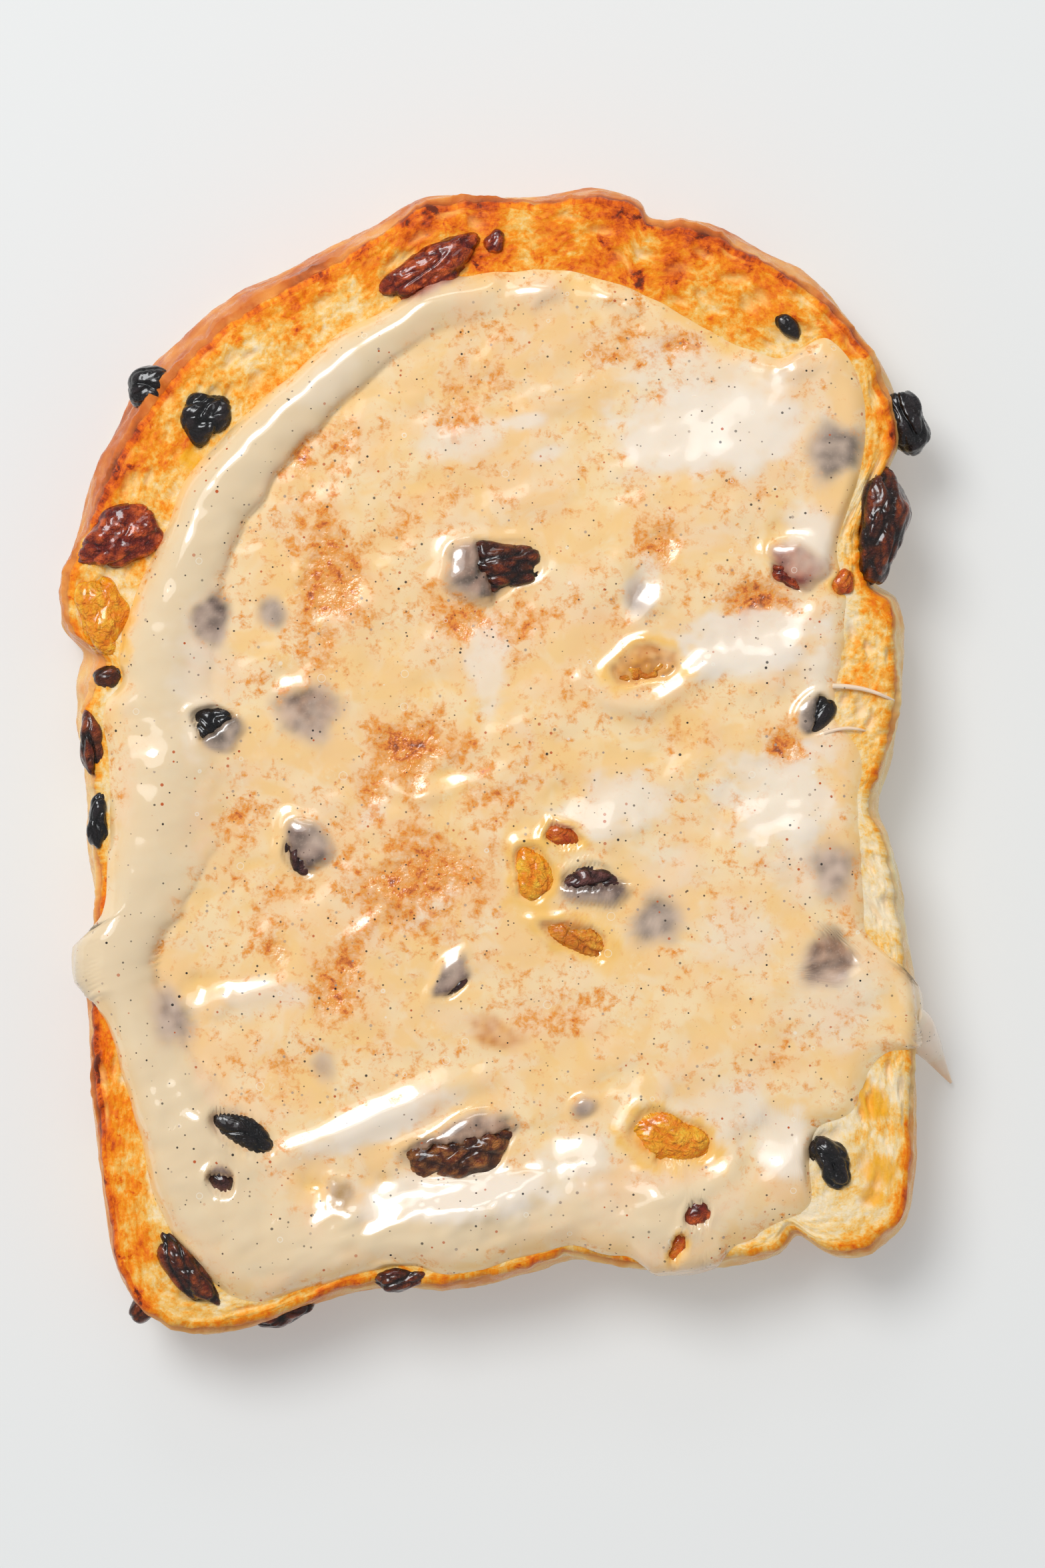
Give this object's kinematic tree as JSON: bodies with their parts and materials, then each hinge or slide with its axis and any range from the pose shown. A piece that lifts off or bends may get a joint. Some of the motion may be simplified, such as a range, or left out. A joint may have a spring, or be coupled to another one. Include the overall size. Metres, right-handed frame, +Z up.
{
  "type": "buttered fruit toast",
  "caption": "Thick slice of toasted fruit loaf lying flat, spread with a glossy butter glaze that drips over its crust, with dried fruit bedded in the crumb.",
  "frame": {"origin": "middle of the whole slice in plan, at the flat underside it lies on", "axes": "+X to the slice's right, +Y towards its domed top, +Z up from the underside to the buttered face"},
  "size_m": [0.1062, 0.1347, 0.0194],
  "materials": {
    "crumb": "toasted crumb with small pores, crust golden brown",
    "glaze": "wet, milky butter glaze, thin film to thick rope",
    "raisin": "wrinkled, slightly wet",
    "currant": "wrinkled, slightly wet",
    "sultana": "wrinkled, translucent amber",
    "peel": "candied, glossy"
  },
  "bodies": {
    "root": {"bread_slice": "crumb", "butter_glaze": "glaze", "raisin_top": "raisin", "raisin_top_tip": "raisin", "currant_crust_left": "currant", "currant_top_left": "currant", "raisin_red_left": "raisin", "sultana_left": "sultana", "currant_skin_left": "currant", "raisin_rim_left": "raisin", "currant_rim_left": "currant", "raisin_deep_left": "raisin", "currant_deep_left": "currant", "currant_mid_left": "currant", "raisin_mid_left": "raisin", "raisin_low_left": "raisin", "raisin_centre": "raisin", "currant_top_right": "currant", "raisin_crust_right": "raisin", "raisin_veiled_right": "raisin", "raisin_rim_right": "raisin", "raisin_upper_right": "raisin", "peel_upper_right": "peel", "currant_hollow_right": "currant", "sultana_hollow_right": "sultana", "currant_slant_right": "currant", "raisin_deep_right": "raisin", "raisin_brown_right": "raisin", "sultana_group_gold": "sultana", "sultana_group_amber": "sultana", "raisin_group": "raisin", "sultana_group_low": "sultana", "currant_group_deep": "currant", "raisin_slant_low": "raisin", "sultana_deep_low": "sultana", "raisin_lower_left": "raisin", "currant_deep_low": "currant", "raisin_leaf_low": "raisin", "currant_purple_low": "currant", "raisin_large_low": "raisin", "sultana_small_low": "sultana", "sultana_gold_low": "sultana", "currant_speck_low": "currant", "raisin_lower_right": "raisin", "currant_red_low": "currant", "peel_flake_low": "peel", "raisin_corner_left": "raisin", "raisin_rim_low": "raisin", "raisin_crust_low": "raisin", "currant_crust_corner": "currant"}
  },
  "joints": []
}
